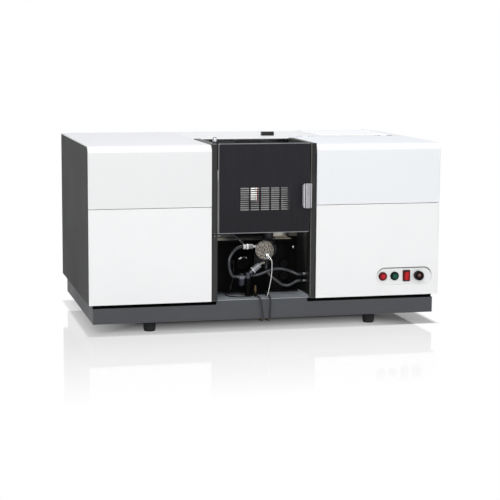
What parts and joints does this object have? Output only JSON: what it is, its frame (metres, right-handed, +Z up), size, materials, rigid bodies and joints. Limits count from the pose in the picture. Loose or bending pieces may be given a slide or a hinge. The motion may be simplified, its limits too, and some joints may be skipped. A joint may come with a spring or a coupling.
{
  "type": "flame atomic absorption spectrophotometer",
  "caption": "Bench flame spectrophotometer: white lidded units on a dark base, and between them an open bay with burner, spray chamber, hoses and a slotted hinged door.",
  "frame": {"origin": "on the surface the feet rest on, under the middle of the cabinet", "axes": "+X runs along the width to the right as seen from the front, +Y to the back, +Z up"},
  "size_m": [1.02, 0.6474, 0.5494],
  "materials": {
    "white_cover": "fine moulded texture, satin",
    "white_plate": "satin enamel",
    "field_plate": "satin",
    "charcoal_paint": "satin enamel",
    "base_paint": "satin enamel",
    "wall_paint": "satin enamel",
    "black_paint": "satin enamel",
    "grey_paint": "satin enamel",
    "door_paint": "faint upright brushing under satin lacquer",
    "steel": "brushed",
    "burner_metal": "bead blasted",
    "aluminium": "satin",
    "cast_aluminium": "as cast",
    "cap_metal": "knurled",
    "black_plastic": "moulded",
    "chamber_plastic": "moulded",
    "knob_gloss": "polished",
    "maroon_plastic": "polished",
    "red_plastic": "polished",
    "green_plastic": "polished",
    "foot_rubber": "moulded",
    "hose_rubber": "ribbed",
    "grey_tube": "smooth",
    "black_tube": "smooth",
    "white_fitting": "moulded",
    "clear_fitting": "moulded, milky",
    "trap_clear": "smoky, clear",
    "lamp_glass": "polished",
    "board": "coated board",
    "brass": "turned"
  },
  "bodies": {
    "instrument": {"base_chassis": "base_paint", "feet": "foot_rubber", "screws": "steel", "chassis_frame": "grey_paint", "optical_bench": "cast_aluminium", "left_front_panel": "white_cover", "left_side_panel": "charcoal_paint", "right_front_panel": "white_cover", "right_side_panel": "charcoal_paint", "rear_panel": "charcoal_paint", "left_bay_wall": "wall_paint", "right_bay_wall": "wall_paint", "bay_floor": "base_paint", "bay_back": "black_paint", "heat_shield": "steel", "bridge_plate": "white_cover", "latch_block": "black_plastic", "right_top_plate": "white_cover", "service_hatch": "white_plate", "lid_hinges": "steel", "hinge_pins": "steel", "control_plate": "field_plate", "control_bezels": "black_plastic", "spray_chamber": "chamber_plastic", "chamber_cap": "cap_metal", "nebuliser": "steel", "chamber_bracket": "grey_paint", "hose_fittings": "white_fitting", "drain_union": "clear_fitting", "drain_trap": "trap_clear", "drain_hose": "hose_rubber", "gas_hoses": "grey_tube", "capillary": "white_fitting", "drain_tubes": "black_tube", "cables": "black_tube", "igniter_plug": "white_fitting", "gas_manifold": "aluminium", "turret_motor": "grey_paint", "beam_windows": "black_paint", "monochromator": "cast_aluminium", "photomultiplier": "aluminium", "electronics": "board", "fan_frame": "black_plastic", "rear_ports": "brass"},
    "door": {"door_plate": "door_paint", "door_frame": "aluminium", "door_pull": "aluminium"},
    "left_lid": {"left_lid": "white_cover"},
    "right_lid": {"right_lid": "white_cover"},
    "red_button": {"red_button": "red_plastic"},
    "green_button": {"green_button": "green_plastic"},
    "rocker": {"rocker": "red_plastic"},
    "control_knob": {"control_knob": "maroon_plastic"},
    "burner_head": {"burner_head": "burner_metal"},
    "adjuster_knob": {"adjuster_knob": "knob_gloss"},
    "fuel_knob": {"fuel_knob": "black_plastic"},
    "air_knob": {"air_knob": "black_plastic"},
    "lamp_turret": {"lamp_turret": "grey_paint", "lamps": "lamp_glass"},
    "fan_rotor": {"fan_rotor": "black_plastic"}
  },
  "joints": [
    {"name": "door_hinge", "type": "hinge", "parent": "instrument", "child": "door", "pos_m": [-0.155, -0.297, 0.4], "axis": [0, 0, -1], "range_deg": [0, 105]},
    {"name": "left_lid_hinge", "type": "hinge", "parent": "instrument", "child": "left_lid", "pos_m": [-0.337, 0.309, 0.5235], "axis": [-1, 0, 0], "range_deg": [0, 75]},
    {"name": "right_lid_hinge", "type": "hinge", "parent": "instrument", "child": "right_lid", "pos_m": [0.3245, 0.035, 0.5255], "axis": [-1, 0, 0], "range_deg": [0, 80]},
    {"name": "red_button_press", "type": "slide", "parent": "instrument", "child": "red_button", "axis": [0, 1, 0], "range_m": [0, 0.003], "stiffness_N_per_m": 500, "springref_m": -0.002},
    {"name": "green_button_press", "type": "slide", "parent": "instrument", "child": "green_button", "axis": [0, 1, 0], "range_m": [0, 0.003], "stiffness_N_per_m": 500, "springref_m": -0.002},
    {"name": "rocker_swing", "type": "hinge", "parent": "instrument", "child": "rocker", "pos_m": [0.413, -0.301, 0.143], "axis": [-1, 0, 0], "range_deg": [0, 16]},
    {"name": "control_knob_turn", "type": "hinge", "parent": "instrument", "child": "control_knob", "pos_m": [0.449, -0.302, 0.143], "axis": [0, 1, 0], "range_deg": [-135, 135]},
    {"name": "burner_turn", "type": "hinge", "parent": "instrument", "child": "burner_head", "pos_m": [0.02844, -0.19262, 0.284], "axis": [0, 0, 1], "range_deg": [-90, 90]},
    {"name": "adjuster_turn", "type": "hinge", "parent": "instrument", "child": "adjuster_knob", "pos_m": [-0.053, -0.226, 0.18], "axis": [0, 1, 0], "range_deg": [-180, 180]},
    {"name": "fuel_valve_turn", "type": "hinge", "parent": "instrument", "child": "fuel_knob", "pos_m": [0.0815, -0.155, 0.169], "axis": [0, -1, 0], "range_deg": [0, 270]},
    {"name": "air_valve_turn", "type": "hinge", "parent": "instrument", "child": "air_knob", "pos_m": [0.0815, -0.155, 0.133], "axis": [0, -1, 0], "range_deg": [0, 270]},
    {"name": "lamp_turret_turn", "type": "hinge", "parent": "instrument", "child": "lamp_turret", "pos_m": [-0.418, -0.19262, 0.384], "axis": [1, 0, 0], "range_deg": [0, 300]},
    {"name": "fan_spin", "type": "hinge", "parent": "instrument", "child": "fan_rotor", "pos_m": [0.4, 0.29, 0.42], "axis": [0, 1, 0], "continuous": true}
  ]
}
